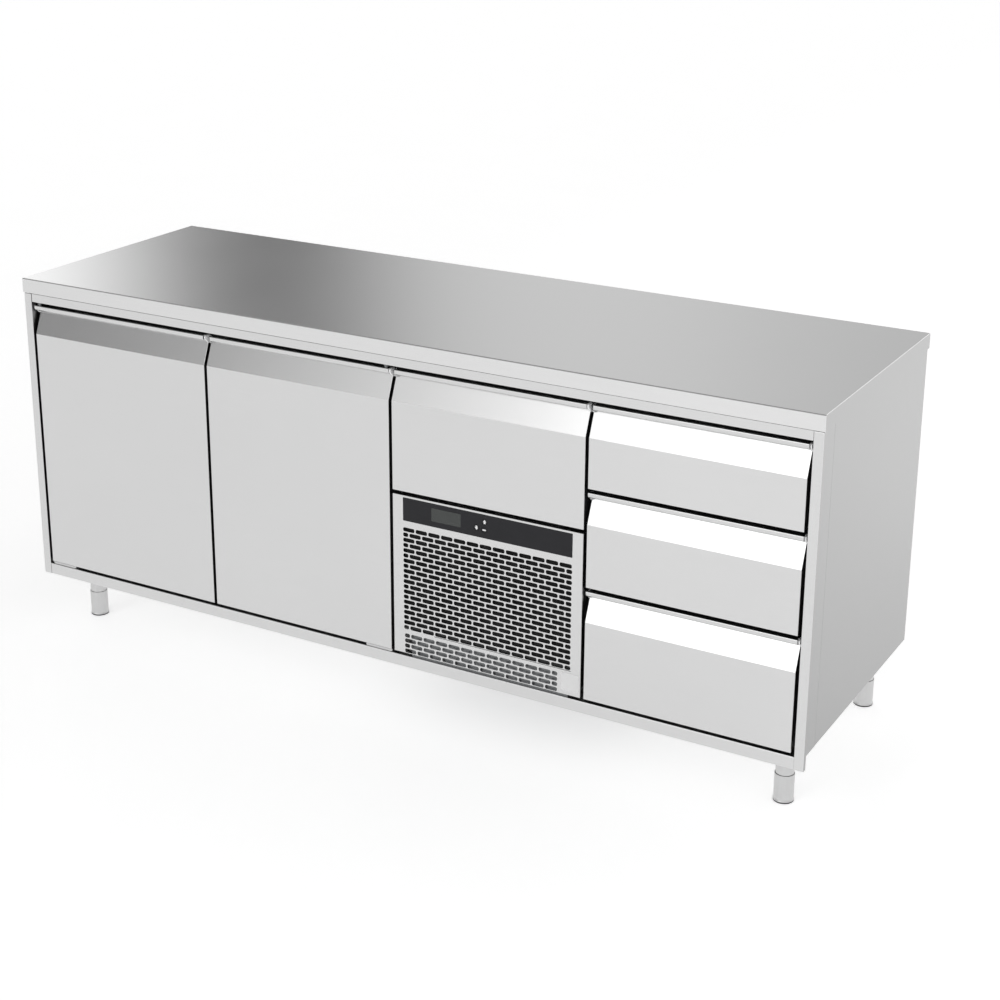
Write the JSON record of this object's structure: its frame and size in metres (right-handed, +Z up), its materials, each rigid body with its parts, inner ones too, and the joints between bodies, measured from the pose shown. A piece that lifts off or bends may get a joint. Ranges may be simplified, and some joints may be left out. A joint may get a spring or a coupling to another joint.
{
  "type": "under counter fridge",
  "caption": "Stainless-steel refrigerated counter with hinged doors, insulated drawers, a machine column with an air grille and a control fascia, a flat worktop and screw-adjusted legs.",
  "frame": {"origin": "on the floor, under the middle of the worktop", "axes": "+X along the worktop towards the drawer column, the fronts face -Y, +Z up"},
  "size_m": [2.025, 0.65, 0.9],
  "materials": {
    "worktop_steel": "fine satin brush along the worktop",
    "brushed_stainless": "fine brush, vertical on the fronts",
    "leg_steel": "turned and polished tube",
    "liner_steel": "plain mill-finish stainless sheet",
    "galvanised_steel": "dull spangled zinc",
    "shelf_wire": "smooth plastic-coated wire",
    "fin_aluminium": "thin close-set fins",
    "seal_rubber": "soft matt",
    "fascia_plastic": "smooth film over a flat plate",
    "display_plastic": "dark smoked window",
    "key_plastic": "pale membrane key",
    "fan_plastic": "moulded, slightly rough",
    "compressor_paint": "semi-gloss black enamel"
  },
  "bodies": {
    "cabinet": {"worktop": "worktop_steel", "left_post": "brushed_stainless", "right_post": "brushed_stainless", "top_rail": "brushed_stainless", "bottom_rail": "brushed_stainless", "left_side_panel": "brushed_stainless", "right_side_panel": "brushed_stainless", "rear_panel": "brushed_stainless", "grille_panel": "brushed_stainless", "left_door_bottom_hinge": "brushed_stainless", "left_door_top_hinge": "brushed_stainless", "right_door_bottom_hinge": "brushed_stainless", "right_door_top_hinge": "brushed_stainless", "leg_front_left": "leg_steel", "leg_front_right": "leg_steel", "leg_rear_left": "leg_steel", "leg_rear_right": "leg_steel", "ceiling_panel": "liner_steel", "left_floor_panel": "liner_steel", "right_floor_panel": "liner_steel", "left_divider": "liner_steel", "right_divider": "liner_steel", "machine_ceiling": "liner_steel", "door_mullion": "liner_steel", "upper_crossbar": "liner_steel", "lower_crossbar": "liner_steel", "machine_tray": "galvanised_steel", "left_drawer_rack": "galvanised_steel", "right_drawer_rack": "galvanised_steel", "left_shelf": "shelf_wire", "right_shelf": "shelf_wire", "shelf_centre_rail": "shelf_wire", "condenser_coil": "fin_aluminium", "evaporator": "fin_aluminium", "cable_gland": "seal_rubber", "control_fascia": "fascia_plastic", "display_window": "display_plastic", "condenser_fan_shroud": "fan_plastic", "compressor": "compressor_paint"},
    "left_door": {"left_door_panel": "brushed_stainless", "left_door_gasket": "seal_rubber"},
    "right_door": {"right_door_panel": "brushed_stainless", "right_door_gasket": "seal_rubber"},
    "machine_drawer": {"machine_drawer_front": "brushed_stainless", "machine_drawer_box": "liner_steel"},
    "top_drawer": {"top_drawer_front": "brushed_stainless", "top_drawer_box": "liner_steel"},
    "middle_drawer": {"middle_drawer_front": "brushed_stainless", "middle_drawer_box": "liner_steel"},
    "bottom_drawer": {"bottom_drawer_front": "brushed_stainless", "bottom_drawer_box": "liner_steel"},
    "condenser_fan": {"condenser_fan_blade": "fan_plastic"},
    "evaporator_fan": {"evaporator_fan_blade": "fan_plastic"},
    "down_key": {"key_down": "key_plastic"},
    "up_key": {"key_up": "key_plastic"},
    "set_key": {"key_set": "key_plastic"},
    "foot_front_left": {"foot_front_left": "leg_steel"},
    "foot_front_right": {"foot_front_right": "leg_steel"},
    "foot_rear_left": {"foot_rear_left": "leg_steel"},
    "foot_rear_right": {"foot_rear_right": "leg_steel"}
  },
  "joints": [
    {"name": "left_door_hinge", "type": "hinge", "parent": "cabinet", "child": "left_door", "pos_m": [-0.9715, -0.313, 0.5], "axis": [0, 0, -1], "range_deg": [0, 105]},
    {"name": "right_door_hinge", "type": "hinge", "parent": "cabinet", "child": "right_door", "pos_m": [0.015, -0.313, 0.5], "axis": [0, 0, 1], "range_deg": [0, 90]},
    {"name": "machine_drawer_slide", "type": "slide", "parent": "cabinet", "child": "machine_drawer", "axis": [0, -1, 0], "range_m": [0, 0.4]},
    {"name": "top_drawer_slide", "type": "slide", "parent": "cabinet", "child": "top_drawer", "axis": [0, -1, 0], "range_m": [0, 0.4]},
    {"name": "middle_drawer_slide", "type": "slide", "parent": "cabinet", "child": "middle_drawer", "axis": [0, -1, 0], "range_m": [0, 0.4]},
    {"name": "bottom_drawer_slide", "type": "slide", "parent": "cabinet", "child": "bottom_drawer", "axis": [0, -1, 0], "range_m": [0, 0.4]},
    {"name": "condenser_fan_spin", "type": "hinge", "parent": "cabinet", "child": "condenser_fan", "pos_m": [0.237, -0.1777, 0.33], "axis": [0, 1, 0], "continuous": true},
    {"name": "evaporator_fan_spin", "type": "hinge", "parent": "cabinet", "child": "evaporator_fan", "pos_m": [-0.235, 0.215, 0.71], "axis": [0, 1, 0], "continuous": true},
    {"name": "down_key_press", "type": "slide", "parent": "cabinet", "child": "down_key", "axis": [0, 1, 0], "range_m": [0, 0.0008], "stiffness_N_per_m": 800, "springref_m": -0.0012},
    {"name": "up_key_press", "type": "slide", "parent": "cabinet", "child": "up_key", "axis": [0, 1, 0], "range_m": [0, 0.0008], "stiffness_N_per_m": 800, "springref_m": -0.0012},
    {"name": "set_key_press", "type": "slide", "parent": "cabinet", "child": "set_key", "axis": [0, 1, 0], "range_m": [0, 0.0008], "stiffness_N_per_m": 800, "springref_m": -0.0012},
    {"name": "foot_front_left_screw", "type": "slide", "parent": "cabinet", "child": "foot_front_left", "axis": [0, 0, -1], "range_m": [0, 0.03]},
    {"name": "foot_front_right_screw", "type": "slide", "parent": "cabinet", "child": "foot_front_right", "axis": [0, 0, -1], "range_m": [0, 0.03]},
    {"name": "foot_rear_left_screw", "type": "slide", "parent": "cabinet", "child": "foot_rear_left", "axis": [0, 0, -1], "range_m": [0, 0.03]},
    {"name": "foot_rear_right_screw", "type": "slide", "parent": "cabinet", "child": "foot_rear_right", "axis": [0, 0, -1], "range_m": [0, 0.03]}
  ]
}
